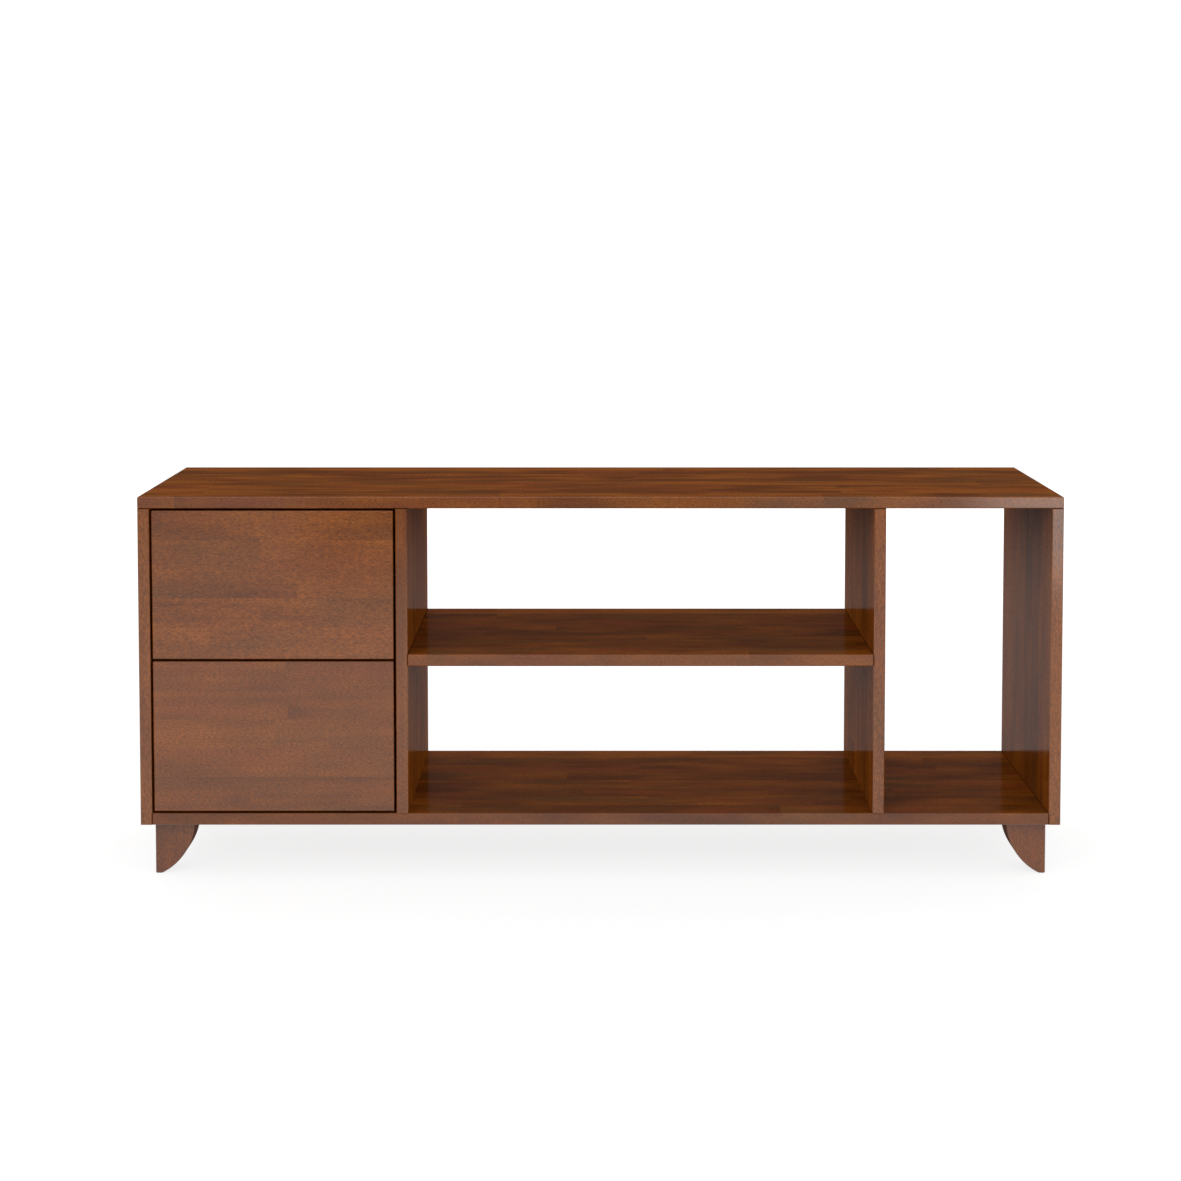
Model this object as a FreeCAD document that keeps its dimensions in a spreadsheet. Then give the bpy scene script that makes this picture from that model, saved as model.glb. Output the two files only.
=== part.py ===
import FreeCAD, Part
import os
from types import SimpleNamespace
import Sketcher

# Low television cabinet in solid wood. Two inset drawers without handles stand on the left, a bay with
# a fixed shelf is in the middle and a tall bay on the right, both open at the back. Four fin legs with
# one curved side carry it. The drawers run on telescopic ball runners with push-to-open ejectors.
# Millimetres, X to the right, Y to the back, Z up, origin on the floor under the middle.

SIZES = {
    # carcass
    "cabinet_width": 1200,
    "cabinet_depth": 400,
    "board": 15,
    "inner_height": 400,
    "drawer_bay_width": 319,
    "open_bay_width": 215,
    "shelf_rise": 194,
    "edge_bevel": 1,
    # thin panels that sit in grooves: the back of the drawer bay and the drawer bottoms
    "back_panel": 6,
    "back_inset": 10,
    "groove_depth": 5,
    "groove_fit": 0.1,
    "groove_slack": 0.5,
    # legs
    "leg_height": 70,
    "leg_top_width": 51.5,
    "leg_foot_width": 8,
    "leg_depth": 52,
    "leg_setback": 25,
    "leg_side_inset": 15,
    # loose tenons
    "tenon_thickness": 6,
    "tenon_width": 40,
    "tenon_length": 30,
    "tenon_bite": 10,
    "tenon_inset": 100,
    "tenon_fit": 0.1,
    "tenon_slack": 1,
    "leg_tenon_offset": 22,
    # drawer fronts and boxes
    "front_gap": 3,
    "lower_front_height": 197,
    "front_thickness": 15,
    "box_rise": 12,
    "box_headroom": 35,
    "box_room": 19,
    "box_wall": 12,
    "box_rabbet": 4,
    "box_panel": 5,
    "box_panel_rise": 10,
    "front_screw_inset": 40,
    "front_slot_length": 6,
    # telescopic runners
    "runner_gap": 12.7,
    "runner_height": 45,
    "runner_setback": 4,
    "rail_room": 15,
    "ejector_bay": 50,
    "rail_sheet": 1.2,
    "head_room": 2,
    "flange_play": 1.5,
    "web_play": 0.6,
    "rail_screw_inset": 35,
    "rail_slot_width": 4.2,
    "rail_slot_length": 9,
    "access_window": 11,
    # ball cages, as thick as the balls that they hold
    "ball_diameter": 2.5,
    "ball_play": 0.1,
    "cage_length": 120,
    "cage_width": 4,
    "cage_play": 0.2,
    "lip_height": 0.8,
    # push-to-open ejectors
    "press_travel": 3,
    "ejector_play": 0.3,
    "housing_length": 44,
    "housing_height": 24,
    "housing_end_wall": 2,
    "slider_head": 2,
    "slider_head_width": 6,
    "slider_rod": 6,
    "slider_rod_length": 41,
    # screws
    "rail_screw_diameter": 3.5,
    "rail_screw_length": 11,
    "rail_screw_head_diameter": 6.8,
    "rail_screw_head": 1.6,
    "front_screw_diameter": 4,
    "front_screw_length": 24,
    "front_screw_head_diameter": 8,
    "front_screw_head": 2.4,
    "screw_fit": 0.1,
    "screw_slack": 0.5,
}


class Size:
    """A length with its value in millimetres and the sheet formula that it follows."""

    def __init__(self, value, text):
        self.value = value
        self.text = text

    def __add__(self, other):
        other = as_size(other)
        return Size(self.value + other.value, f"({self.text} + {other.text})")

    def __sub__(self, other):
        other = as_size(other)
        return Size(self.value - other.value, f"({self.text} - {other.text})")

    def __mul__(self, factor):
        return Size(self.value * factor, f"({self.text} * {factor})")

    def __truediv__(self, divisor):
        return Size(self.value / divisor, f"({self.text} / {divisor})")

    def __neg__(self):
        return Size(-self.value, f"(-{self.text})")


def as_size(number):
    """The length itself, or a plain number as a length."""
    if isinstance(number, Size):
        return number
    return Size(number, str(number))


doc = FreeCAD.newDocument("tv_cabinet")
sheet = doc.addObject("Spreadsheet::Sheet", "sizes")
for row, (alias, number) in enumerate(SIZES.items(), start=1):
    sheet.set(f"A{row}", str(number))
    sheet.setAlias(f"A{row}", alias)
doc.recompute()
dim = SimpleNamespace(**{alias: Size(float(sheet.get(alias)), f"sizes.{alias}") for alias in SIZES})
nodes = []


# Binding and sketching

def bind(item, path, length):
    """Tie a property of an object to a formula of the sheet."""
    item.setExpression(path, as_size(length).text)


def place(item, corner):
    """Tie the place of an object to formulas of the sheet."""
    for axis, length in zip("xyz", corner):
        bind(item, f"Placement.Base.{axis}", length)


def constrain(sketch, kind, where, length):
    """Add a dimension to a sketch and tie it to the sheet."""
    number = sketch.addConstraint(Sketcher.Constraint(kind, *where, as_size(length).value))
    bind(sketch, f"Constraints[{number}]", length)


def pin(sketch, geometry, vertex, point):
    """Dimension a sketch point from the sketch's origin."""
    for kind, length in zip(("DistanceX", "DistanceY"), point):
        constrain(sketch, kind, (-1, 1, geometry, vertex), length)


def vector(point):
    return FreeCAD.Vector(as_size(point[0]).value, as_size(point[1]).value, 0)


def outline(sketch, points):
    """Closed outline of straight lines, each corner dimensioned."""
    first = sketch.GeometryCount
    count = len(points)
    for here, there in zip(points, points[1:] + points[:1]):
        sketch.addGeometry(Part.LineSegment(vector(here), vector(there)))
    for step in range(count):
        following = first + (step + 1) % count
        sketch.addConstraint(Sketcher.Constraint("Coincident", first + step, 2, following, 1))
        pin(sketch, first + step, 1, points[step])


def rectangle(sketch, low, high):
    outline(sketch, [low, (high[0], low[1]), high, (low[0], high[1])])


def circles(sketch, centres, radius):
    for centre in centres:
        round_hole = Part.Circle(vector(centre), FreeCAD.Vector(0, 0, 1), radius.value)
        number = sketch.addGeometry(round_hole)
        pin(sketch, number, 3, centre)
        constrain(sketch, "Radius", (number,), radius)


def new_body(label):
    body = doc.addObject("PartDesign::Body", label)
    body.Label = label
    return body


def new_sketch(body, role, height=0):
    """Sketch on one of the body's own origin planes, lifted by a height along its normal."""
    plane = next(feature for feature in body.Origin.OriginFeatures if feature.Role == role)
    sketch = body.newObject("Sketcher::SketchObject", f"{body.Name}_sketch")
    sketch.AttachmentSupport = [(plane, "")]
    sketch.MapMode = "FlatFace"
    bind(sketch, "AttachmentOffset.Base.z", height)
    return sketch


def pad(body, sketch, length, backwards=False):
    feature = body.newObject("PartDesign::Pad", f"{body.Name}_pad")
    feature.Profile = sketch
    feature.Reversed = backwards
    bind(feature, "Length", length)
    doc.recompute()


def ease(body, edge_names):
    """Take the sharpness off the named edges of the body."""
    square = body.Tip
    feature = body.newObject("PartDesign::Chamfer", f"{body.Name}_bevel")
    feature.Base = (square, edge_names)
    bind(feature, "Size", dim.edge_bevel)
    doc.recompute()


# Plane of each drilling axis, the two coordinates drawn on it and the way its normal points
PLANES = {"x": ("YZ_Plane", "yz", "+x"), "y": ("XZ_Plane", "xz", "-y"), "z": ("XY_Plane", "xy", "+z")}


def sign(direction):
    return -1 if direction[0] == "-" else 1


def unit(direction):
    """Unit vector of a direction such as -z."""
    return FreeCAD.Vector(*(sign(direction) if axis == direction[1] else 0 for axis in "xyz"))


def opposite(direction):
    return ("-" if direction[0] == "+" else "+") + direction[1]


def shifted(point, direction, distance):
    """The point moved along a direction."""
    step = as_size(distance) * sign(direction)
    return tuple(place + step if axis == direction[1] else place for axis, place in zip("xyz", point))


def local(piece, point):
    """A point of the cabinet in the piece's own axes, by axis name."""
    x, y, z = (as_size(there) - here for there, here in zip(point, piece.corner))
    return {"x": x * piece.turn, "y": y * piece.turn, "z": z}


def cut(piece, direction, entry, depth, draw):
    """Pocket into a piece from the plane through an entry point; draw fills in its sketch."""
    role, drawn, facing = PLANES[direction[1]]
    height = local(piece, entry)[direction[1]] * sign(facing)
    sketch = new_sketch(piece.body, role, height)
    draw(sketch, *drawn)
    before = piece.body.Shape.Volume
    feature = piece.body.newObject("PartDesign::Pocket", f"{piece.body.Name}_pocket")
    feature.Profile = sketch
    feature.Reversed = direction == facing
    bind(feature, "Length", depth)
    doc.recompute()
    if piece.body.Shape.Volume >= before:
        raise RuntimeError(f"a cut in {piece.body.Label} removed nothing")


def drill(piece, direction, entries, radius, depth):
    """Round holes that enter a piece at points of one face."""
    def draw(sketch, first, second):
        spots = [local(piece, entry) for entry in entries]
        circles(sketch, [(spot[first], spot[second]) for spot in spots], radius)
    cut(piece, direction, entries[0], depth, draw)


def slots(piece, direction, seats, reach, depth):
    """Rectangular slots in one face, each reaching the same way to both sides of its seat."""
    span = dict(zip("xyz", reach))

    def draw(sketch, first, second):
        for spot in (local(piece, seat) for seat in seats):
            rectangle(sketch, (spot[first] - span[first], spot[second] - span[second]),
                      (spot[first] + span[first], spot[second] + span[second]))
    cut(piece, direction, seats[0], depth, draw)


def groove(piece, direction, low, high, depth):
    """One groove between two corners of a face."""
    def draw(sketch, first, second):
        near = local(piece, low)
        far = local(piece, high)
        rectangle(sketch, (near[first], near[second]), (far[first], far[second]))
    cut(piece, direction, low, depth, draw)


def finished(label, body, corner, turn=1):
    """Put a body in its place and list it as a node of the cabinet."""
    body.Placement.Rotation = FreeCAD.Rotation(FreeCAD.Vector(0, 0, 1), 0 if turn > 0 else 180)
    place(body, corner)
    doc.recompute()
    nodes.append(body)
    return SimpleNamespace(body=body, corner=corner, turn=turn)


def edges_along(shape, axes):
    """Names of the straight edges that run along the given axes."""
    names = []
    for number, edge in enumerate(shape.Edges, start=1):
        spans = {"X": edge.BoundBox.XLength, "Y": edge.BoundBox.YLength, "Z": edge.BoundBox.ZLength}
        if max(spans, key=spans.get) in axes:
            names.append(f"Edge{number}")
    return names


def board(label, low, high, eased=""):
    """Flat board between two corners, its edges along the named axes bevelled."""
    width, depth, height = (as_size(far) - near for far, near in zip(high, low))
    body = new_body(label)
    sketch = new_sketch(body, "XY_Plane")
    rectangle(sketch, (0, 0), (width, depth))
    pad(body, sketch, height)
    if eased:
        ease(body, edges_along(body.Shape, eased))
    return finished(label, body, low)


# Small pieces drawn once and repeated

def screw_pattern(label, diameter, length, head_diameter, head):
    """Round screw that points along +Z, with the underside of its head at height 0."""
    radius = diameter / 2
    rim = head_diameter / 2
    body = new_body(label)
    sketch = new_sketch(body, "XZ_Plane")
    outline(sketch, [(0, -head), (rim, -head), (rim, 0), (radius, 0), (radius, length), (0, length)])
    feature = body.newObject("PartDesign::Revolution", f"{label}_turn")
    feature.Profile = sketch
    feature.ReferenceAxis = (sketch, ["V_Axis"])
    doc.recompute()
    return body


def copies(label, pattern, spots):
    """Node made of separate copies of a pattern, each at a point and along a direction."""
    links = []
    for point, direction in spots:
        link = doc.addObject("App::Link", f"{label}_copy")
        link.LinkedObject = pattern
        turn = FreeCAD.Rotation(FreeCAD.Vector(0, 0, 1), unit(direction))
        link.Placement = FreeCAD.Placement(FreeCAD.Vector(0, 0, 0), turn)
        place(link, point)
        links.append(link)
    group = doc.addObject("Part::Compound", label)
    group.Label = label
    group.Links = links
    doc.recompute()
    nodes.append(group)


tenon = new_body("tenon")
tenon_sketch = new_sketch(tenon, "XY_Plane")
half_thickness = dim.tenon_thickness / 2
half_tenon = dim.tenon_width / 2
rectangle(tenon_sketch, (-half_thickness, -half_tenon), (half_thickness, half_tenon))
pad(tenon, tenon_sketch, dim.tenon_length)
rail_screw = screw_pattern("rail_screw", dim.rail_screw_diameter, dim.rail_screw_length,
                           dim.rail_screw_head_diameter, dim.rail_screw_head)
front_screw = screw_pattern("front_screw", dim.front_screw_diameter, dim.front_screw_length,
                            dim.front_screw_head_diameter, dim.front_screw_head)
rail_screw_hole = dim.rail_screw_diameter / 2 + dim.screw_fit
front_screw_hole = dim.front_screw_diameter / 2 + dim.screw_fit


def mortises(piece, direction, seats, depth):
    """Mortises around the seats of loose tenons, wide along Y and as thick as the tenons across."""
    thin = half_thickness + dim.tenon_fit
    wide = half_tenon + dim.tenon_fit
    slots(piece, direction, seats, (thin, wide, thin), depth)


def tenon_joint(face_board, end_board, direction, seats):
    """Mortise both boards at the seats on their joint; the tenons point into the end board."""
    mortises(face_board, opposite(direction), seats, dim.tenon_bite + dim.tenon_slack)
    mortises(end_board, direction, seats, dim.tenon_length - dim.tenon_bite + dim.tenon_slack)
    return [(shifted(seat, opposite(direction), dim.tenon_bite), direction) for seat in seats]


# Carcass: where its faces lie

left = -(dim.cabinet_width / 2)
right = dim.cabinet_width / 2
front = -(dim.cabinet_depth / 2)
back = dim.cabinet_depth / 2
underside = dim.leg_height
deck = underside + dim.board
ceiling = deck + dim.inner_height
crown = ceiling + dim.board
left_wall = left + dim.board
right_wall = right - dim.board
left_partition_near = left_wall + dim.drawer_bay_width
left_partition_far = left_partition_near + dim.board
right_partition_far = right_wall - dim.open_bay_width
right_partition_near = right_partition_far - dim.board
shelf_underside = deck + dim.shelf_rise

top = board("top_panel", (left, front, ceiling), (right, back, crown), "XYZ")
bottom = board("bottom_panel", (left_wall, front, underside), (right_wall, back, deck), "X")
left_side = board("left_side_panel", (left, front, underside), (left_wall, back, ceiling), "Z")
right_side = board("right_side_panel", (right_wall, front, underside), (right, back, ceiling), "Z")
left_partition = board("left_partition", (left_partition_near, front, deck),
                       (left_partition_far, back, ceiling), "Z")
right_partition = board("right_partition", (right_partition_near, front, deck),
                        (right_partition_far, back, ceiling), "Z")
shelf = board("centre_shelf", (left_partition_far, front, shelf_underside),
              (right_partition_near, back, shelf_underside + dim.board), "X")

# Loose tenons of the carcass, in rows from front to back

tenon_rows = (front + dim.tenon_inset, as_size(0), back - dim.tenon_inset)
half_board = dim.board / 2
uprights = ((left_side, left), (left_partition, left_partition_near),
            (right_partition, right_partition_near), (right_side, right_wall))

top_spots = []
for upright, near_face in uprights:
    seats = [(near_face + half_board, y, ceiling) for y in tenon_rows]
    top_spots += tenon_joint(top, upright, "-z", seats)
copies("top_tenons", tenon, top_spots)

bottom_spots = []
for side, wall, direction in ((left_side, left_wall, "+x"), (right_side, right_wall, "-x")):
    seats = [(wall, y, underside + half_board) for y in tenon_rows]
    bottom_spots += tenon_joint(side, bottom, direction, seats)
copies("bottom_tenons", tenon, bottom_spots)

foot_spots = []
for partition, near_face in uprights[1:3]:
    seats = [(near_face + half_board, y, deck) for y in tenon_rows]
    foot_spots += tenon_joint(bottom, partition, "+z", seats)
copies("partition_tenons", tenon, foot_spots)

shelf_spots = []
for partition, face, direction in ((left_partition, left_partition_far, "+x"),
                                   (right_partition, right_partition_near, "-x")):
    seats = [(face, y, shelf_underside + half_board) for y in tenon_rows]
    shelf_spots += tenon_joint(partition, shelf, direction, seats)
copies("shelf_tenons", tenon, shelf_spots)

# Back panel of the drawer bay, in grooves of the boards around it

back_panel_far = back - dim.back_inset
back_panel_near = back_panel_far - dim.back_panel
groove_near = back_panel_near - dim.groove_fit
groove_far = back_panel_far + dim.groove_fit
panel_bite = dim.groove_depth - dim.groove_slack
board("drawer_bay_back_panel",
      (left_wall - panel_bite, back_panel_near, deck - panel_bite),
      (left_partition_near + panel_bite, back_panel_far, ceiling + panel_bite))
groove(left_side, "-x", (left_wall, groove_near, deck - dim.groove_depth),
       (left_wall, groove_far, ceiling), dim.groove_depth)
groove(left_partition, "+x", (left_partition_near, groove_near, deck),
       (left_partition_near, groove_far, ceiling), dim.groove_depth)
groove(bottom, "-z", (left_wall, groove_near, deck),
       (left_partition_near + dim.groove_depth, groove_far, deck), dim.groove_depth)
groove(top, "+z", (left_wall - dim.groove_depth, groove_near, ceiling),
       (left_partition_near + dim.groove_depth, groove_far, ceiling), dim.groove_depth)


def inwards_from(side_name):
    """Way along X from the left or right side towards the middle."""
    return 1 if side_name == "left" else -1


# Legs: a fin with an upright outer side and an inner side that is one arc, upright where it meets the top

def leg(label, outer_face, middle, turn):
    """Fin leg whose outer face stands at outer_face; turn is -1 on the right of the cabinet."""
    body = new_body(label)
    sketch = new_sketch(body, "XZ_Plane")
    width = dim.leg_top_width.value
    foot = dim.leg_foot_width.value
    height = dim.leg_height.value
    radius = ((width - foot) ** 2 + height ** 2) / (2 * (width - foot))
    corners = [(foot, 0), (0, 0), (0, height), (width, height)]
    for here, there in zip(corners, corners[1:]):
        sketch.addGeometry(Part.LineSegment(vector(here), vector(there)))
    circle = Part.Circle(vector((width - radius, height)), FreeCAD.Vector(0, 0, 1), radius)
    curve = sketch.addGeometry(Part.ArcOfCircle(circle, circle.parameter(vector(corners[0])),
                                                circle.parameter(vector(corners[3]))))
    for line in (0, 1):
        sketch.addConstraint(Sketcher.Constraint("Coincident", line, 2, line + 1, 1))
    sketch.addConstraint(Sketcher.Constraint("Coincident", curve, 1, 0, 1))
    sketch.addConstraint(Sketcher.Constraint("Coincident", curve, 2, 2, 2))
    pin(sketch, 0, 1, (dim.leg_foot_width, 0))
    pin(sketch, 0, 2, (0, 0))
    pin(sketch, 1, 2, (0, dim.leg_height))
    pin(sketch, 2, 2, (dim.leg_top_width, dim.leg_height))
    constrain(sketch, "DistanceY", (-1, 1, curve, 3), dim.leg_height)
    pad(body, sketch, dim.leg_depth, backwards=True)
    top_edges = [edge for edge in body.Shape.Edges if edge.BoundBox.ZMin > height - dim.edge_bevel.value]
    names = [f"Edge{number}" for number, edge in enumerate(body.Shape.Edges, start=1)
             if not any(edge.isSame(upper) for upper in top_edges)]
    ease(body, names)
    near = middle - dim.leg_depth / 2 * turn
    return finished(label, body, (outer_face, near, 0), turn)


front_leg_middle = front + dim.leg_setback + dim.leg_depth / 2
rear_leg_middle = back - dim.leg_setback - dim.leg_depth / 2
left_leg_face = left + dim.leg_side_inset
right_leg_face = right - dim.leg_side_inset
leg_spots = []
for row_name, middle in (("front", front_leg_middle), ("rear", rear_leg_middle)):
    for side_name, outer_face in (("left", left_leg_face), ("right", right_leg_face)):
        turn = inwards_from(side_name)
        fin = leg(f"{row_name}_{side_name}_leg", outer_face, middle, turn)
        seat = (outer_face + dim.leg_tenon_offset * turn, middle, underside)
        leg_spots += tenon_joint(bottom, fin, "-z", [seat])
copies("leg_tenons", tenon, leg_spots)

# Runner section: distances out from the wall, and heights above and below the runner's middle

race = dim.ball_diameter + dim.ball_play * 2
middle_web_near = dim.rail_sheet + dim.head_room
middle_web_far = middle_web_near + dim.rail_sheet
drawer_web = dim.runner_gap - dim.rail_sheet
drawer_flange_tip = middle_web_far + dim.web_play
flange_tip = dim.runner_gap - dim.flange_play
lip_near = flange_tip - dim.rail_sheet
cabinet_flange = dim.runner_height / 2
cabinet_race = cabinet_flange - dim.rail_sheet
middle_flange = cabinet_race - race
middle_race = middle_flange - dim.rail_sheet
drawer_flange = middle_race - race
outer_cage_row = (lip_near - dim.cage_play - dim.cage_width / 2, middle_flange + race / 2)
inner_cage_row = (lip_near - dim.cage_play - dim.cage_width / 2, drawer_flange + race / 2)
cabinet_section = [
    (as_size(0), cabinet_flange), (flange_tip, cabinet_flange), (flange_tip, cabinet_race - dim.lip_height),
    (lip_near, cabinet_race - dim.lip_height), (lip_near, cabinet_race), (dim.rail_sheet, cabinet_race)]
middle_section = [
    (middle_web_near, middle_flange), (flange_tip, middle_flange), (flange_tip, middle_race - dim.lip_height),
    (lip_near, middle_race - dim.lip_height), (lip_near, middle_race), (middle_web_far, middle_race)]
drawer_section = [
    (dim.runner_gap, drawer_flange), (drawer_flange_tip, drawer_flange),
    (drawer_flange_tip, drawer_flange - dim.rail_sheet), (drawer_web, drawer_flange - dim.rail_sheet)]

slot_reach = (0, dim.rail_slot_length / 2, dim.rail_slot_width / 2)
window_reach = (0, dim.access_window / 2, dim.access_window / 2)
runner_front = front + dim.front_thickness + dim.runner_setback
cabinet_rail_length = back_panel_near - dim.rail_room - runner_front
sliding_rail_length = cabinet_rail_length - dim.ejector_bay
screw_rows = (runner_front + dim.rail_screw_inset, runner_front + sliding_rail_length - dim.rail_screw_inset)
runner_walls = (("left", left_side, left_wall), ("right", left_partition, left_partition_near))


def rail(label, half_section, wall, side, height, length):
    """Folded sheet rail whose section is the same above and below the runner's middle."""
    upper = [(out * side, up) for out, up in half_section]
    lower = [(out, -up) for out, up in reversed(upper)]
    body = new_body(label)
    sketch = new_sketch(body, "XZ_Plane")
    outline(sketch, lower + upper)
    pad(body, sketch, length, backwards=True)
    return finished(label, body, (wall, runner_front, height))


# A ball cage is a bar between two races, inside the lip that keeps it there, with its balls flush in it

ball_cage = new_body("ball_cage")
cage_sketch = new_sketch(ball_cage, "XZ_Plane")
half_cage = dim.cage_width / 2
half_ball = dim.ball_diameter / 2
rectangle(cage_sketch, (-half_cage, -half_ball), (half_cage, half_ball))
pad(ball_cage, cage_sketch, dim.cage_length, backwards=True)
cage_front = runner_front + (sliding_rail_length - dim.cage_length) / 2


def ball_cages(label, row, height):
    """Cages of one drawer, above and below the middle of both its runners."""
    out, up = row
    copies(label, ball_cage, [((wall + out * inwards_from(side_name), cage_front, level), "+z")
                              for side_name, wall_board, wall in runner_walls
                              for level in (height + up, height - up)])


# Ejector: a housing in the back end of the cabinet rail, and a slider with a head and a square rod

slider_front = runner_front + sliding_rail_length + dim.press_travel + dim.ejector_play
housing_front = slider_front + dim.slider_head + dim.ejector_play * 2
housing_width = flange_tip - dim.rail_sheet
slider_middle = dim.rail_sheet + housing_width / 2
half_bore = dim.slider_rod / 2 + dim.ejector_play
half_rod = dim.slider_rod / 2

ejector_housing = new_body("ejector_housing")
housing_sketch = new_sketch(ejector_housing, "XZ_Plane")
rectangle(housing_sketch, (-(housing_width / 2), -(dim.housing_height / 2)),
          (housing_width / 2, dim.housing_height / 2))
pad(ejector_housing, housing_sketch, dim.housing_length, backwards=True)
housing_piece = SimpleNamespace(body=ejector_housing, corner=(0, 0, 0), turn=1)
groove(housing_piece, "+y", (-half_bore, as_size(0), -half_bore), (half_bore, as_size(0), half_bore),
       dim.housing_length - dim.housing_end_wall)

ejector_slider = new_body("ejector_slider")
head_sketch = new_sketch(ejector_slider, "XZ_Plane")
rectangle(head_sketch, (-(dim.slider_head_width / 2), -drawer_flange),
          (dim.slider_head_width / 2, drawer_flange))
pad(ejector_slider, head_sketch, dim.slider_head, backwards=True)
rod_sketch = new_sketch(ejector_slider, "XZ_Plane", -dim.slider_head)
rectangle(rod_sketch, (-half_rod, -half_rod), (half_rod, half_rod))
pad(ejector_slider, rod_sketch, dim.slider_rod_length, backwards=True)


# Drawers

box_left = left_wall + dim.runner_gap
box_right = left_partition_near - dim.runner_gap
box_front = front + dim.front_thickness
box_depth = back_panel_near - dim.box_room - box_front
box_back = box_front + box_depth
box_shoulder = dim.box_wall - dim.box_rabbet


def box_side(label, outer_face, side, base, height):
    """Side of a drawer box, rabbeted at both ends, with a groove for the bottom panel."""
    body = new_body(label)
    sketch = new_sketch(body, "XY_Plane")
    wall = dim.box_wall * side
    shoulder = box_shoulder * side
    far_wall = box_depth - dim.box_wall
    outline(sketch, [
        (0, 0), (shoulder, 0), (shoulder, dim.box_wall), (wall, dim.box_wall), (wall, far_wall),
        (shoulder, far_wall), (shoulder, box_depth), (0, box_depth)])
    pad(body, sketch, height)
    piece = finished(label, body, (outer_face, box_front, base))
    inner_face = outer_face + wall
    groove(piece, "-x" if side > 0 else "+x", (inner_face, box_front, base + dim.box_panel_rise),
           (inner_face, box_back, base + dim.box_panel_rise + dim.box_panel + dim.groove_fit * 2),
           dim.groove_depth)
    return piece


def drawer(name, front_base, front_height):
    """One drawer with its box and runners; returns where its rail screws and ejector housings go."""
    front_left = left_wall + dim.front_gap
    front_right = left_partition_near - dim.front_gap
    face = board(f"{name}_drawer_front", (front_left, front, front_base),
                 (front_right, box_front, front_base + front_height), "XYZ")

    base = front_base + dim.box_rise
    box_height = front_height - dim.box_rise - dim.box_headroom
    rim = base + box_height
    middle = base + box_height / 2
    end_left = box_left + box_shoulder
    end_right = box_right - box_shoulder
    inner_front = box_front + dim.box_wall
    inner_back = box_back - dim.box_wall
    panel_base = base + dim.box_panel_rise + dim.groove_fit
    groove_base = panel_base - dim.groove_fit
    groove_top = panel_base + dim.box_panel + dim.groove_fit
    near_end = board(f"{name}_box_front", (end_left, box_front, base), (end_right, inner_front, rim))
    far_end = board(f"{name}_box_back", (end_left, inner_back, base), (end_right, box_back, rim))
    groove(near_end, "-y", (end_left, inner_front, groove_base), (end_right, inner_front, groove_top),
           dim.groove_depth)
    groove(far_end, "+y", (end_left, inner_back, groove_base), (end_right, inner_back, groove_top),
           dim.groove_depth)
    inner_left = box_left + dim.box_wall
    inner_right = box_right - dim.box_wall
    board(f"{name}_box_bottom",
          (inner_left - panel_bite, inner_front - panel_bite, panel_base),
          (inner_right + panel_bite, inner_back + panel_bite, panel_base + dim.box_panel))

    front_screws = [(x, inner_front, middle)
                    for x in (inner_left + dim.front_screw_inset, inner_right - dim.front_screw_inset)]
    slots(near_end, "-y", front_screws, (dim.front_slot_length / 2, 0, front_screw_hole), dim.box_wall)
    drill(face, "-y", [(x, box_front, z) for x, y, z in front_screws], front_screw_hole,
          dim.front_screw_length - dim.box_wall + dim.screw_slack)
    copies(f"{name}_front_screws", front_screw, [(spot, "-y") for spot in front_screws])

    wall_screws = []
    rail_screws = []
    housing_spots = []
    slider_spots = []
    for side_name, wall_board, wall in runner_walls:
        side = inwards_from(side_name)
        inwards = "+x" if side > 0 else "-x"
        outwards = opposite(inwards)
        runner = f"{name}_{side_name}"

        wall_seats = [(wall, y, middle) for y in screw_rows]
        fixed = rail(f"{runner}_cabinet_rail", cabinet_section, wall, side, middle, cabinet_rail_length)
        slots(fixed, inwards, wall_seats, slot_reach, dim.rail_sheet)
        drill(wall_board, outwards, wall_seats, rail_screw_hole,
              dim.rail_screw_length - dim.rail_sheet + dim.screw_slack)
        wall_screws += [(shifted(seat, inwards, dim.rail_sheet), outwards) for seat in wall_seats]

        sliding = rail(f"{runner}_middle_rail", middle_section, wall, side, middle, sliding_rail_length)
        access = [shifted(seat, inwards, middle_web_near) for seat in wall_seats]
        slots(sliding, inwards, access, window_reach, dim.rail_sheet)

        carried = rail(f"{runner}_drawer_rail", drawer_section, wall, side, middle, sliding_rail_length)
        web_seats = [shifted(seat, inwards, drawer_web) for seat in wall_seats]
        slots(carried, inwards, web_seats, slot_reach, dim.rail_sheet)
        flank = box_side(f"{name}_box_{side_name}_side", wall + dim.runner_gap * side, side, base, box_height)
        drill(flank, inwards, [shifted(seat, inwards, dim.rail_sheet) for seat in web_seats], rail_screw_hole,
              dim.rail_screw_length - dim.rail_sheet + dim.screw_slack)
        rail_screws += [(seat, inwards) for seat in web_seats]

        housing_spots.append(((wall + slider_middle * side, housing_front, middle), "+z"))
        slider_spots.append(((wall + slider_middle * side, slider_front, middle), "+z"))
    copies(f"{name}_drawer_rail_screws", rail_screw, rail_screws)
    copies(f"{name}_ejector_sliders", ejector_slider, slider_spots)
    ball_cages(f"{name}_outer_ball_cages", outer_cage_row, middle)
    ball_cages(f"{name}_inner_ball_cages", inner_cage_row, middle)
    return wall_screws, housing_spots


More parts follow.
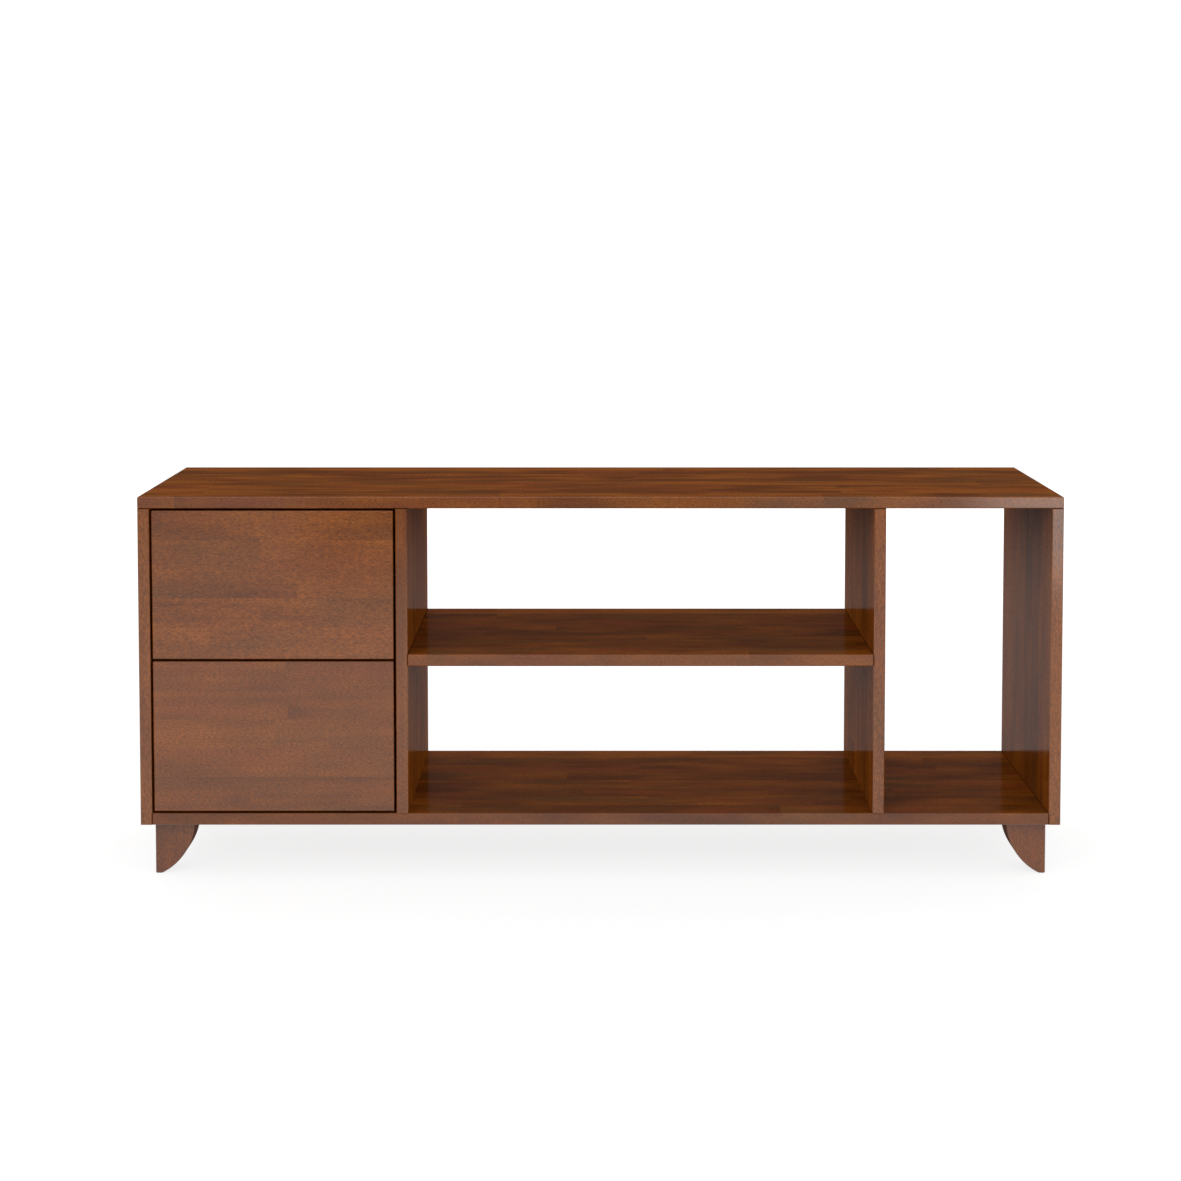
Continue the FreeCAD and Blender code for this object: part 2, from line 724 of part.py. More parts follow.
lower_front_base = deck + dim.front_gap
upper_front_base = lower_front_base + dim.lower_front_height + dim.front_gap
upper_front_height = ceiling - dim.front_gap - upper_front_base
lower_screws, lower_housings = drawer("lower", lower_front_base, dim.lower_front_height)
upper_screws, upper_housings = drawer("upper", upper_front_base, upper_front_height)
copies("cabinet_rail_screws", rail_screw, lower_screws + upper_screws)
copies("ejector_housings", ejector_housing, lower_housings + upper_housings)

# Check every object, then write one file for each node

doc.recompute()
failed = [item.Label for item in doc.Objects if {"Invalid", "Error"} & set(item.State)]
failed += [node.Label for node in nodes if node.Shape.isNull() or not node.Shape.isValid()]
if failed:
    raise RuntimeError("not built: " + ", ".join(failed))
os.makedirs("parts", exist_ok=True)
for node in nodes:
    node.Shape.exportStep(os.path.join("parts", f"{node.Label}.step"))
print(len(nodes), "nodes written")
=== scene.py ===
import math

import bmesh
import bpy
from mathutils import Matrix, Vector


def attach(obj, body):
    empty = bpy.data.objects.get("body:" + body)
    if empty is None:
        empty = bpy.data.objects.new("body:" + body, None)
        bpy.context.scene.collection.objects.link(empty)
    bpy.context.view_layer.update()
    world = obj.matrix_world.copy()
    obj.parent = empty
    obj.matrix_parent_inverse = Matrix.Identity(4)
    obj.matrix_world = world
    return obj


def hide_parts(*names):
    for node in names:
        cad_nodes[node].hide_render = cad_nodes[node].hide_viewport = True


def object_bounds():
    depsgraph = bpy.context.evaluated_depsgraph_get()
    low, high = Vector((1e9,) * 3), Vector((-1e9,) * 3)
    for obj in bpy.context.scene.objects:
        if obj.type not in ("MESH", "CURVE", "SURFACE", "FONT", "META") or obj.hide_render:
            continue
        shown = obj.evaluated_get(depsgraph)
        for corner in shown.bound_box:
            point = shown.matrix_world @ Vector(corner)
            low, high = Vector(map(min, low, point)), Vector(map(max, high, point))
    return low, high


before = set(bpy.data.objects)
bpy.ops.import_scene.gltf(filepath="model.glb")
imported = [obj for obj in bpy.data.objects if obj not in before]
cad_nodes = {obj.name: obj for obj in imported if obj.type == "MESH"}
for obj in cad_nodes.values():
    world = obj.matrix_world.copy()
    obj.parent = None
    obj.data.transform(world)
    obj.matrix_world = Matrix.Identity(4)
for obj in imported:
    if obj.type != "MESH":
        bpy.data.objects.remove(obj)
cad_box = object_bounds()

# Lengths are in metres and colours are linear.
MM = 0.001

# Camera: fitted to the cabinet's edges in the photograph, nearly level and above the top.
CAMERA_PLACE = (-0.0023, -3.5222, 0.859)
CAMERA_PITCH = math.radians(3.7875)
CAMERA_LENS = 78.66
CAMERA_SENSOR = 36
CAMERA_SHIFT = (-0.007, -0.17)

# Room: strength of its light at eye level and below, and straight above, and the strength that shows white.
ROOM_LEVEL = 1.35
ROOM_OVERHEAD = 0.35
WHITE = 1.0

# Lamps: a wide soft one in front and another behind, and low white cards whose reflections lie on the front.
LAMPS = {
    "soft_lamp": dict(place=(-0.6, -4.6, 2.1), size=(5.0, 2.4), power=84, mirrored=False),
    "back_lamp": dict(place=(0.0, 4.5, 1.6), size=(5.0, 2.0), power=105, mirrored=False),
    "right_card": dict(place=(1.17, -2.2, 0.34), size=(0.8, 0.5), power=2.8, mirrored=True),
    "inner_card": dict(place=(0.75, -2.2, 0.34), size=(0.9, 0.5), power=0.55, mirrored=True),
    "left_card": dict(place=(-0.95, -2.2, 0.34), size=(0.7, 0.5), power=0.4, mirrored=True),
}

# Floor: a painted pool of light round the cabinet, as its tone near the cabinet and far away and the
# distances between which one turns into the other, and the glow and the tone under it that the eye sees.
FLOOR_SPAN = 40.0
FLOOR_DROP = 0.2 * MM
FLOOR_NEAR = 0.72
FLOOR_FAR = 0.2
FLOOR_POOL = (1.2, 4.4)
FLOOR_GLOW = 0.8
FLOOR_SHADE = 0.3


def colour(red, green, blue):
    return (red, green, blue, 1)


class Nodes:
    """Node tree of a material or a world, with short calls for the nodes that it uses."""

    def __init__(self, owner):
        owner.use_nodes = True
        self.tree = owner.node_tree

    def feed(self, socket, value):
        """Wire a socket to another, or set its value."""
        if isinstance(value, bpy.types.NodeSocket):
            self.tree.links.new(value, socket)
        else:
            socket.default_value = value

    def add(self, kind, inputs=None, **settings):
        node = self.tree.nodes.new(kind)
        for setting, value in settings.items():
            setattr(node, setting, value)
        for socket, value in (inputs or {}).items():
            self.feed(node.inputs[socket], value)
        return node

    def maths(self, operation, *values):
        return self.add("ShaderNodeMath", dict(enumerate(values)), operation=operation).outputs[0]

    def vectors(self, operation, *values):
        return self.add("ShaderNodeVectorMath", dict(enumerate(values)), operation=operation).outputs[0]

    def join(self, *values):
        return self.add("ShaderNodeCombineXYZ", dict(zip("XYZ", values))).outputs[0]

    def separate(self, vector):
        """The X, Y and Z of a vector."""
        return self.add("ShaderNodeSeparateXYZ", {0: vector}).outputs

    def spread(self, factor, low, high):
        """A value that runs from low to high as the factor runs from 0 to 1."""
        return self.add("ShaderNodeMapRange", {"Value": factor, "To Min": low, "To Max": high}).outputs[0]

    def step(self, factor, low, high):
        """A value that rises smoothly from 0 to 1 while the factor runs from low to high."""
        return self.add("ShaderNodeMapRange", {"Value": factor, "From Min": low, "From Max": high},
                        interpolation_type="SMOOTHSTEP").outputs[0]

    def mix(self, factor, first, second, blend="MIX"):
        """A mix of two colours; the node's sockets 6 and 7 and its output 2 are those for colours."""
        node = self.add("ShaderNodeMix", data_type="RGBA", blend_type=blend)
        for number, value in ((0, factor), (6, first), (7, second)):
            self.feed(node.inputs[number], value)
        return node.outputs[2]

    def ramp(self, factor, stops, steps="LINEAR"):
        node = self.add("ShaderNodeValToRGB", {"Fac": factor})
        node.color_ramp.interpolation = steps
        elements = node.color_ramp.elements
        elements[0].position, elements[0].color = stops[0]
        elements[1].position, elements[1].color = stops[-1]
        for place, tone in stops[1:-1]:
            elements.new(place).color = tone
        return node.outputs["Color"]

    def noise(self, vector, detail=2.0, roughness=0.5, distortion=0.0):
        node = self.add("ShaderNodeTexNoise", {
            "Vector": vector, "Scale": 1.0, "Detail": detail, "Roughness": roughness,
            "Distortion": distortion})
        return node.outputs["Fac"]

    def chance(self, vector):
        """Random value and random colour that depend only on the vector."""
        node = self.add("ShaderNodeTexWhiteNoise", {"Vector": vector}, noise_dimensions="3D")
        return node.outputs["Value"], node.outputs["Color"]


class Paint(Nodes):
    """Node tree of a new material."""

    def __init__(self, name):
        self.material = bpy.data.materials.new(name)
        super().__init__(self.material)
        self.shader = self.tree.nodes["Principled BSDF"]

    def bump(self, height, strength, distance):
        node = self.add("ShaderNodeBump", {"Height": height, "Strength": strength, "Distance": distance})
        self.feed(self.shader.inputs["Normal"], node.outputs["Normal"])

    def set(self, **inputs):
        """Feed sockets of the shader, named with underscores for spaces."""
        for socket, value in inputs.items():
            self.feed(self.shader.inputs[socket.replace("_", " ")], value)


def dress(material, *names):
    """Give a material to CAD nodes."""
    for name in names:
        slots = cad_nodes[name].material_slots
        if not slots:
            cad_nodes[name].data.materials.append(material)
        for slot in slots:
            slot.link = "OBJECT"
            slot.material = material


STAIN = {
    "dark": colour(0.115, 0.0300, 0.0040),
    "middle": colour(0.174, 0.0466, 0.0052),
    "light": colour(0.235, 0.0660, 0.0070),
    "olive": colour(0.125, 0.0440, 0.0090),
    "red": colour(0.190, 0.0420, 0.0090),
}
BIRCH = {
    "dark": colour(0.54, 0.38, 0.22),
    "middle": colour(0.62, 0.46, 0.28),
    "light": colour(0.69, 0.53, 0.34),
    "olive": colour(0.58, 0.44, 0.28),
    "red": colour(0.63, 0.44, 0.27),
}

# Staves with random joints: their length, and by how many lengths a row can be moved along.
STAVE_LENGTH = 0.42
ROW_SLIP = 5.0

# Figure: waves per metre along the grain and across it, and the move of the noise from stave to stave.
# The seed moves all of it, so that boards differ.
BLOTCH = (8.0, 20.0, 1.0)
PATCH = (6.0, 22.0, 2.0)
STREAK = (2.4, 70.0, 9.0)
SPECKLE = (280.0, 800.0, 0.0)
DASH = (130.0, 900.0, 0.0)
STREAK_NOISE = dict(detail=3.0, roughness=0.6, distortion=0.3)
FINE_NOISE = dict(detail=1.0)
SEED_MOVE = (7.3, 3.1, 5.7)

# Values of the noises between which a patch turns olive or red and a dash turns dark.
OLIVE_RISE = (0.5, 0.75)
RED_RISE = (0.5, 0.25)
DASH_RISE = (0.58, 0.72)
DASH_DEPTH = 0.3

# Seams between rows, and the painted shade in the crease where a board's end meets another board: sizes and
# shares of the tone, and of the coat there.
SEAM = 0.4 * MM
SEAM_TONE = 0.85
CREASE_SHADE_REACH = (1.3 * MM, 0.5 * MM)
CREASE_SHADE_TONE = 0.25
CREASE_SHADE_COAT = 0.1

# End grain is darker: how far a surface turns to the grain before it counts, and its share of the tone.
END_RISE = (0.8, 0.95)
END_TONE = 0.68

# Surface of the wood and its clear coat, and how far a surface turns to the front before its coat is full.
FACING_RISE = (0.3, 0.65)
WOOD_ROUGHNESS = (0.4, 0.6)
COAT_ROUGHNESS = 0.13
COAT_IOR = 1.6
WOOD_BUMP = (0.1, 0.2 * MM)


def staved_wood(name, grain, seed, tones, rows, first=-0.2, width=0.05, span=None, ends=None, luck=0.1,
                figure=0.6, cloud=0.7, tint=0.6, fleck=0.85, coat=(0.3, 1.0)):
    """Wood of glued staves; grain names the axes along the grain, across it and through the board.

    Rows lie side by side from the first place on. Each has the tone of its staves, the tone beyond its
    joint and the joint's place along the span; without a span, joints fall at random. Near the ends of a
    board, where it meets another, shade is painted into the crease. Luck, figure and cloud are the ranges of
    the tone from stave to stave, in streaks and in blotches, tint is the strength of the olive and red
    patches, and fleck that of the pores. The clear coat is thin on the faces and full on what looks to the
    front or the back."""
    paint = Paint(name)
    texture = paint.add("ShaderNodeTexCoord").outputs
    axes = paint.separate(texture["Object"])
    along, across, through = (axes["XYZ".index(axis)] for axis in grain)

    row_place = paint.maths("DIVIDE", paint.maths("SUBTRACT", across, first), width)
    row = paint.maths("FLOOR", row_place)
    plan = paint.ramp(paint.maths("DIVIDE", row_place, len(rows)),
                      [(number / len(rows), colour(*tone)) for number, tone in enumerate(rows)], "CONSTANT")
    near, far, joint = paint.add("ShaderNodeSeparateColor", {0: plan}).outputs
    if span:
        low, high = span
        share = paint.maths("DIVIDE", paint.maths("SUBTRACT", along, low), high - low)
        piece = paint.maths("GREATER_THAN", share, joint)
    else:
        row_luck, _ = paint.chance(paint.join(row, seed, 0.0))
        share = paint.maths("DIVIDE", along, STAVE_LENGTH)
        piece = paint.maths("FLOOR", paint.maths("MULTIPLY_ADD", row_luck, ROW_SLIP, share))
    draw, tints = paint.chance(paint.join(row, piece, seed))

    def grained(lengthwise, crosswise, loose):
        """Place in the wood, drawn out along the grain and moved from stave to stave."""
        waves = (lengthwise, crosswise, crosswise)
        place = paint.vectors("MULTIPLY", paint.join(along, across, through), waves)
        start = tuple(seed * part for part in SEED_MOVE)
        move = paint.vectors("MULTIPLY_ADD", tints, (loose, loose, loose), start)
        return paint.vectors("ADD", place, move)

    blotch = paint.noise(grained(*BLOTCH))
    patch = paint.noise(grained(*PATCH))
    streak = paint.noise(grained(*STREAK), **STREAK_NOISE)
    speckle = paint.noise(grained(*SPECKLE), **FINE_NOISE)
    dash = paint.noise(grained(*DASH), **FINE_NOISE)

    beyond = paint.maths("GREATER_THAN", piece, 0.5)
    tone = paint.maths("MULTIPLY_ADD", beyond, paint.maths("SUBTRACT", far, near), near)
    tone = paint.maths("ADD", tone, paint.spread(draw, -luck, luck))
    tone = paint.maths("ADD", tone, paint.spread(streak, -figure, figure))
    tone = paint.maths("ADD", tone, paint.spread(blotch, -cloud, cloud))
    wood = paint.ramp(tone, [(0.0, tones["dark"]), (0.5, tones["middle"]), (1.0, tones["light"])])
    for rise, tinge in ((OLIVE_RISE, tones["olive"]), (RED_RISE, tones["red"])):
        wood = paint.mix(paint.maths("MULTIPLY", paint.step(patch, *rise), tint), wood, tinge)

    pores = paint.spread(paint.step(dash, *DASH_RISE), 1.0, 1 - DASH_DEPTH * fleck)
    shade = paint.maths("MULTIPLY", paint.spread(speckle, 1 - fleck, 1 + fleck), pores)
    seam = paint.step(paint.maths("PINGPONG", row_place, 0.5), SEAM / width, 0.0)
    shade = paint.maths("MULTIPLY", shade, paint.spread(seam, 1.0, SEAM_TONE))
    normal = paint.separate(texture["Normal"])
    end_on = paint.maths("ABSOLUTE", normal["XYZ".index(grain[0])])
    shade = paint.maths("MULTIPLY", shade, paint.spread(paint.step(end_on, *END_RISE), 1.0, END_TONE))
    facing = paint.maths("ABSOLUTE", normal["Y"])
    lacquer = paint.spread(paint.step(facing, *FACING_RISE), *coat)
    # Painted shade in the crease where a board's end meets another board: near either end the colour darkens
    # and the coat thins.
    if ends:
        low, high = ends
        from_low = paint.maths("SUBTRACT", along, low)
        from_high = paint.maths("SUBTRACT", high, along)
        crease_shade = paint.step(paint.maths("MINIMUM", from_low, from_high), *CREASE_SHADE_REACH)
        shade = paint.maths("MULTIPLY", shade, paint.spread(crease_shade, 1.0, CREASE_SHADE_TONE))
        lacquer = paint.maths("MULTIPLY", lacquer, paint.spread(crease_shade, 1.0, CREASE_SHADE_COAT))
    wood = paint.mix(1.0, wood, paint.join(shade, shade, shade), "MULTIPLY")
    paint.set(Base_Color=wood, Roughness=paint.spread(streak, *WOOD_ROUGHNESS), Specular_IOR_Level=0.0,
              Coat_Weight=lacquer, Coat_Roughness=COAT_ROUGHNESS, Coat_IOR=COAT_IOR)
    paint.bump(paint.maths("ADD", streak, speckle), *WOOD_BUMP)
    return paint.material


def even(*tones):
    """Rows whose staves are alike along the row."""
    return [(tone, tone, 0.0) for tone in tones]


# Axes along the grain, across it and through the board, and a span without a joint.
LEVEL, UPRIGHT, FACING, STANDING, LENGTHWISE = "XYZ", "ZYX", "XZY", "ZXY", "YZX"
WHOLE = (-1.0, 1.0)

# Level boards, with the tones of their rows from the front of the cabinet to its back. The figure of the
# top is bolder than that of the boards under it.
BOLD = dict(luck=0.25, figure=0.75, cloud=1.7)
SOFT = dict(luck=0.15, figure=0.3, cloud=1.4, fleck=0.5)
DECKS = {
    "top_panel": dict(seed=80, rows=even(0.9, 0.55, 0.5, 0.65, 0.25, 0.6, 0.2, 0.95), coat=(0.02, 1.0),
                      **BOLD),
    "bottom_panel": dict(seed=232, rows=even(0.25, 0.45, 0.4, 0.5, 0.25, 0.45, 0.3, 0.95),
                         ends=(-0.585, 0.585), coat=(0.03, 0.82), **SOFT),
    "centre_shelf": dict(seed=52, rows=even(0.85, 0.35, 0.55, 0.3, 0.5, 0.45, 0.3, 1.05),
                         ends=(-0.251, 0.355), coat=(0.022, 0.82), **SOFT),
}
for deck, board in DECKS.items():
    wood = staved_wood(f"{deck}_wood", LEVEL, tones=STAIN, tint=0.9, **board)
    dress(wood, deck)

# Upright boards, with their rows from the front to the back too. Only their upper ends, under the top, get
# painted crease shade, as the lower limit lies under the boards.
UPRIGHT_ENDS = (0.06, 0.485)
UPRIGHTS = {
    "left_side_panel": dict(seed=4, rows=even(0.8, 0.6, 0.4, 0.7, 0.55, 0.5, 0.65, 0.6), coat=(0.1, 1.0)),
    "left_partition": dict(seed=310, rows=even(0.85, 0.72, 0.52, 0.67, 0.82, 0.72, 0.62, 0.77),
                           coat=(0.055, 1.0)),
    "right_partition": dict(seed=115, rows=even(0.75, 0.5, 0.4, 0.65, 0.75, 0.65, 0.7, 0.6),
                            coat=(0.06, 1.0)),
    "right_side_panel": dict(seed=96, rows=even(0.93, 0.6, 0.35, 0.4, 0.65, 0.75, 0.75, 0.65),
                             coat=(0.12, 1.0)),
}
for upright, board in UPRIGHTS.items():
    wood = staved_wood(f"{upright}_wood", UPRIGHT, tones=STAIN, ends=UPRIGHT_ENDS, figure=0.75, cloud=1.1,
                       **board)
    dress(wood, upright)

back_panel_wood = staved_wood("back_panel_wood", STANDING, 9, STAIN, even(0.45, 0.55, 0.4), first=-0.585,
                              width=0.106, span=WHOLE)
dress(back_panel_wood, "drawer_bay_back_panel")

# Rows of the drawer fronts from the bottom up: tones left and right of the joint, and the joint's place.
FRONT_STAVE = 0.038
FRONT_SPAN = (-0.582, -0.269)
FRONTS = {
    "lower": dict(seed=417, first=0.057, rows=[
        (0.35, 0.33, 0.7), (0.31, 0.3, 0.4), (0.4, 0.38, 0.62), (0.46, 0.45, 0.5), (0.38, 0.46, 0.56),
        (0.43, 0.3, 0.55)]),
    "upper": dict(seed=148, first=0.254, rows=[
        (0.69, 0.64, 0.6), (0.62, 0.66, 0.24), (0.57, 0.58, 0.45), (0.54, 0.64, 0.6), (0.55, 0.63, 0.45),
        (0.58, 0.64, 0.5)]),
}
for name, board in FRONTS.items():
    wood = staved_wood(f"{name}_front_wood", FACING, tones=STAIN, width=FRONT_STAVE, span=FRONT_SPAN,
                       luck=0.05, figure=0.5, cloud=0.75, tint=0.4, **board)
    dress(wood, f"{name}_drawer_front")

LEG_SEEDS = {"front_left_leg": 15, "front_right_leg": 16, "rear_left_leg": 17, "rear_right_leg": 18}
for leg, seed in LEG_SEEDS.items():
    wood = staved_wood(f"{leg}_wood", STANDING, seed, STAIN, even(0.2), first=-0.6, width=1.2, span=WHOLE,
                       coat=(0.04, 1.0))
    dress(wood, leg)

# Drawer boxes, each board of one wide stave, and the tenons.
ONE_STAVE = dict(width=1.0, span=WHOLE, fleck=0.15)
box_wood = staved_wood("drawer_box_wood", LENGTHWISE, 31, BIRCH, even(0.5), first=0.0, **ONE_STAVE)
end_wood = staved_wood("drawer_end_wood", FACING, 32, BIRCH, even(0.5), first=0.0, **ONE_STAVE)
base_wood = staved_wood("drawer_base_wood", LEVEL, 33, BIRCH, even(0.6), first=-0.5, **ONE_STAVE)
tenon_wood = staved_wood("tenon_wood", LEVEL, 34, BIRCH, even(0.4), fleck=0.2)
dress(tenon_wood, "top_tenons", "bottom_tenons", "partition_tenons", "shelf_tenons", "leg_tenons")

# Zinc-plated steel with a cloudy spangle, and fine-grained plastic or coating: the noise in waves per metre,
# the tones at its low and high end, the range of the roughness and the strength of the bump.
METAL = dict(waves=180.0, detail=3.0, tones=(0.8, 1.0), gloss=0.06, bump=0.05, metallic=1.0)
PLASTIC = dict(waves=900.0, detail=2.0, tones=(1.0, 1.3), gloss=0.05, bump=0.1, metallic=0.0)
SPECK_HEIGHT = 0.1 * MM


def speckled(name, base, roughness, waves, detail, tones, gloss, bump, metallic):
    """Metal or plastic whose tone, roughness and height follow one noise."""
    paint = Paint(name)
    place = paint.add("ShaderNodeTexCoord").outputs["Object"]
    speck = paint.noise(paint.vectors("MULTIPLY", place, (waves, waves, waves)), detail=detail)
    low, high = (colour(*(part * tone for part in base)) for tone in tones)
    paint.set(Base_Color=paint.mix(speck, low, high), Metallic=metallic,
              Roughness=paint.spread(speck, roughness - gloss, roughness + gloss))
    paint.bump(speck, bump, SPECK_HEIGHT)
    return paint.material


rail_coating = speckled("rail_coating", (0.016, 0.016, 0.018), 0.4, **PLASTIC)
screw_steel = speckled("screw_steel", (0.58, 0.58, 0.58), 0.3, **METAL)
cage_steel = speckled("cage_steel", (0.40, 0.41, 0.43), 0.4, **METAL)
ejector_plastic = speckled("ejector_plastic", (0.035, 0.037, 0.04), 0.45, **PLASTIC)

# Screws: outlines of the head and the shank as shares of their radius and length, and the cross recess as
# shares of the head's radius and height. What is wider than the head share of a plain screw is its head.
SCREW_SIDES = 24
HEAD_OUTLINE = ((0.62, -1.0), (0.88, -0.82), (1.0, -0.5), (1.0, 0.0))
SHANK_OUTLINE = ((1.0, 0.0), (1.0, 0.7), (0.15, 1.0))
RECESS_REACH = 0.52
RECESS_ARM = 0.14
RECESS_FLOOR = 0.6
RECESS_DEPTH = 0.7
HEAD_SHARE = 0.9
WELD = 0.01 * MM


def separate_solids(mesh):
    """Corner points of each separate solid of a mesh."""
    shape = bmesh.new()
    shape.from_mesh(mesh)
    bmesh.ops.remove_doubles(shape, verts=shape.verts, dist=WELD)
    for corner in shape.verts:
        corner.tag = False
    solids = []
    for first in shape.verts:
        if first.tag:
            continue
        first.tag = True
        solid = [first]
        for corner in solid:
            for edge in corner.link_edges:
                other = edge.other_vert(corner)
                if not other.tag:
                    other.tag = True
                    solid.append(other)
        solids.append([corner.co.copy() for corner in solid])
    shape.free()
    return solids


def screw_plan(points):
    """Seat, direction, head and shank of a plain screw that lies along one axis."""
    low = Vector(min(point[axis] for point in points) for axis in range(3))
    high = Vector(max(point[axis] for point in points) for axis in range(3))
    axis = max(range(3), key=lambda number: high[number] - low[number])
    seat = (low + high) / 2

    def radius(point):
        offset = point - seat
        offset[axis] = 0
        return offset.length

    widest = max(map(radius, points))
    heads = [point[axis] for point in points if radius(point) > HEAD_SHARE * widest]
    shank = max(radius(point) for point in points if radius(point) <= HEAD_SHARE * widest)
    height = max(heads) - min(heads)
    length = high[axis] - low[axis] - height
    head_is_low = min(heads) - low[axis] < high[axis] - max(heads)
    direction = Vector()
    direction[axis] = 1 if head_is_low else -1
    seat[axis] = max(heads) if head_is_low else min(heads)
    return seat, direction, (widest, height), (shank, length)


def add_screw(shape, seat, direction, head, shank):
    """Add a pointed screw with a round head and a cross recess, whose head sits on the seat."""
    turn = Vector((0, 0, 1)).rotation_difference(direction).to_matrix()

    def corner(x, y, z):
        return shape.verts.new(seat + turn @ Vector((x, y, z)))

    def band(first, second):
        for number in range(len(first)):
            shape.faces.new((first[number - 1], first[number], second[number], second[number - 1]))

    def edges(loop):
        return [shape.edges.get((loop[number - 1], loop[number])) for number in range(len(loop))]

    angles = [2 * math.pi * number / SCREW_SIDES for number in range(SCREW_SIDES)]
    outline = [(part * head[0], level * head[1]) for part, level in HEAD_OUTLINE]
    outline += [(part * shank[0], level * shank[1]) for part, level in SHANK_OUTLINE]
    rings = [[corner(radius * math.cos(angle), radius * math.sin(angle), level) for angle in angles]
             for radius, level in outline]
    for upper, lower in zip(rings, rings[1:]):
        band(upper, lower)
    shape.faces.new(rings[-1])

    reach, arm = RECESS_REACH * head[0], RECESS_ARM * head[0]
    quarter = [(reach, -arm), (reach, arm), (arm, arm)]
    cross = []
    for _ in range(4):
        cross += quarter
        quarter = [(-y, x) for x, y in quarter]
    brim = [corner(x, y, -head[1]) for x, y in cross]
    floor = [corner(x * RECESS_FLOOR, y * RECESS_FLOOR, (RECESS_DEPTH - 1) * head[1]) for x, y in cross]
    band(brim, floor)
    shape.faces.new(floor)
    bmesh.ops.triangle_fill(shape, use_beauty=True, edges=edges(rings[0]) + edges(brim))


def cross_screws(node, body):
    """Screws with cross recesses, which stand for a node of plain ones."""
    shape = bmesh.new()
    for points in separate_solids(cad_nodes[node].data):
        add_screw(shape, *screw_plan(points))
    bmesh.ops.recalc_face_normals(shape, faces=shape.faces)
    mesh = bpy.data.meshes.new(f"{node}_with_recess")
    shape.to_mesh(mesh)
    shape.free()
    mesh.materials.append(screw_steel)
    piece = bpy.data.objects.new(mesh.name, mesh)
    bpy.context.collection.objects.link(piece)
    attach(piece, body)
    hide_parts(node)


cross_screws("cabinet_rail_screws", "cabinet")
dress(ejector_plastic, "ejector_housings")
for name in ("lower", "upper"):
    dress(box_wood, f"{name}_box_left_side", f"{name}_box_right_side")
    dress(end_wood, f"{name}_box_front", f"{name}_box_back")
    dress(base_wood, f"{name}_box_bottom")
    cross_screws(f"{name}_front_screws", f"{name}_drawer")
    cross_screws(f"{name}_drawer_rail_screws", f"{name}_drawer")
    dress(cage_steel, f"{name}_outer_ball_cages", f"{name}_inner_ball_cages")
    dress(ejector_plastic, f"{name}_ejector_sliders")
    for side in ("left", "right"):
        dress(rail_coating, *(f"{name}_{side}_{rail}_rail" for rail in ("cabinet", "middle", "drawer")))


def seen_by_eye(nodes, mirrored=1.0):
    """1 for rays that show the background: from the camera, through glass and in reflections.

    Mirrored is how much of it reflections show."""
    rays = nodes.add("ShaderNodeLightPath").outputs
    glossy = nodes.maths("MULTIPLY", rays["Is Glossy Ray"], mirrored)
    direct = nodes.maths("MAXIMUM", rays["Is Camera Ray"], rays["Is Transmission Ray"])
    return nodes.maths("MAXIMUM", direct, glossy)


def make_room():
    """White room that lights the cabinet, most of all from eye level, and shows as plain white."""
    world = bpy.data.worlds.new("room")
    bpy.context.scene.world = world
    room = Nodes(world)
    height = room.separate(room.add("ShaderNodeTexCoord").outputs["Generated"])["Z"]
    light = room.spread(height, ROOM_LEVEL, ROOM_OVERHEAD)
    background = room.tree.nodes["Background"].inputs
    room.feed(background["Color"], colour(1, 1, 1))
    room.feed(background["Strength"], room.spread(seen_by_eye(room), light, WHITE))


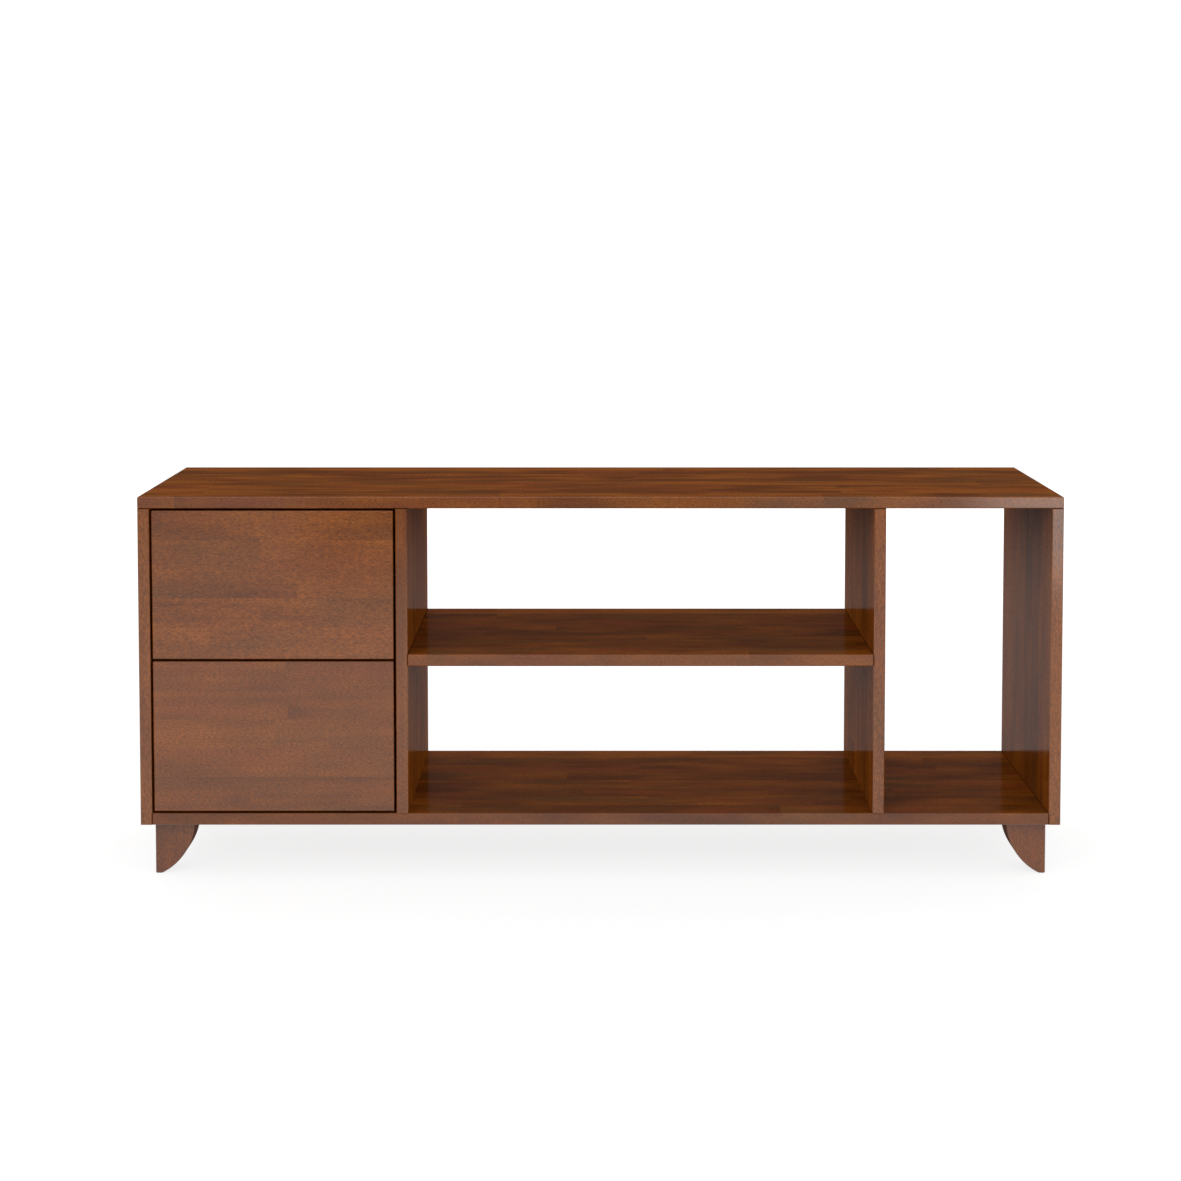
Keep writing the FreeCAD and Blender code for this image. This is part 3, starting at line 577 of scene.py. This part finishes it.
def make_floor():
    """Pale floor that shows white, has a painted pool of light round the cabinet, in its tone and in what
    reflections show of it, and keeps a soft shadow.
    """
    bpy.ops.mesh.primitive_plane_add(size=FLOOR_SPAN, location=(0, 0, -FLOOR_DROP))
    floor = bpy.context.object
    floor.name = "floor"
    paint = Paint("floor_paint")
    paint.tree.nodes.remove(paint.shader)
    place = paint.add("ShaderNodeTexCoord").outputs["Object"]
    distance = paint.add("ShaderNodeVectorMath", {0: place}, operation="LENGTH").outputs["Value"]
    # Painted pool of light round the cabinet: the floor's tone falls from near to far, and reflections show
    # its white only near the cabinet.
    far = paint.step(distance, *FLOOR_POOL)
    tone = paint.spread(far, FLOOR_NEAR, FLOOR_FAR)
    plain = paint.add("ShaderNodeBsdfDiffuse", {"Color": paint.join(tone, tone, tone)}).outputs[0]
    grey = colour(FLOOR_SHADE, FLOOR_SHADE, FLOOR_SHADE)
    shade = paint.add("ShaderNodeBsdfDiffuse", {"Color": grey}).outputs[0]
    glow = paint.add("ShaderNodeEmission", {"Strength": FLOOR_GLOW}).outputs[0]
    white = paint.add("ShaderNodeAddShader", {0: shade, 1: glow}).outputs[0]
    eye = seen_by_eye(paint, paint.spread(far, 1.0, 0.0))
    look = paint.add("ShaderNodeMixShader", {0: eye, 1: plain, 2: white}).outputs[0]
    paint.feed(paint.tree.nodes["Material Output"].inputs["Surface"], look)
    floor.data.materials.append(paint.material)


def make_lamp(name, place, size, power, mirrored):
    """Rectangular lamp that looks at the cabinet's middle."""
    data = bpy.data.lights.new(name, "AREA")
    data.shape = "RECTANGLE"
    data.size, data.size_y = size
    data.energy = power
    lamp = bpy.data.objects.new(name, data)
    bpy.context.collection.objects.link(lamp)
    lamp.location = place
    lamp.visible_camera = False
    lamp.visible_glossy = mirrored
    direction = (cad_box[0] + cad_box[1]) / 2 - lamp.location
    lamp.rotation_euler = direction.to_track_quat("-Z", "Y").to_euler()


def make_camera():
    data = bpy.data.cameras.new("camera")
    data.sensor_width = CAMERA_SENSOR
    data.lens = CAMERA_LENS
    data.shift_x, data.shift_y = CAMERA_SHIFT
    camera = bpy.data.objects.new("camera", data)
    bpy.context.collection.objects.link(camera)
    camera.location = CAMERA_PLACE
    camera.rotation_euler = (math.pi / 2 - CAMERA_PITCH, 0, 0)
    bpy.context.scene.camera = camera


make_room()
make_floor()
for name, lamp in LAMPS.items():
    make_lamp(name, **lamp)
make_camera()
bpy.context.scene.view_settings.view_transform = "Standard"
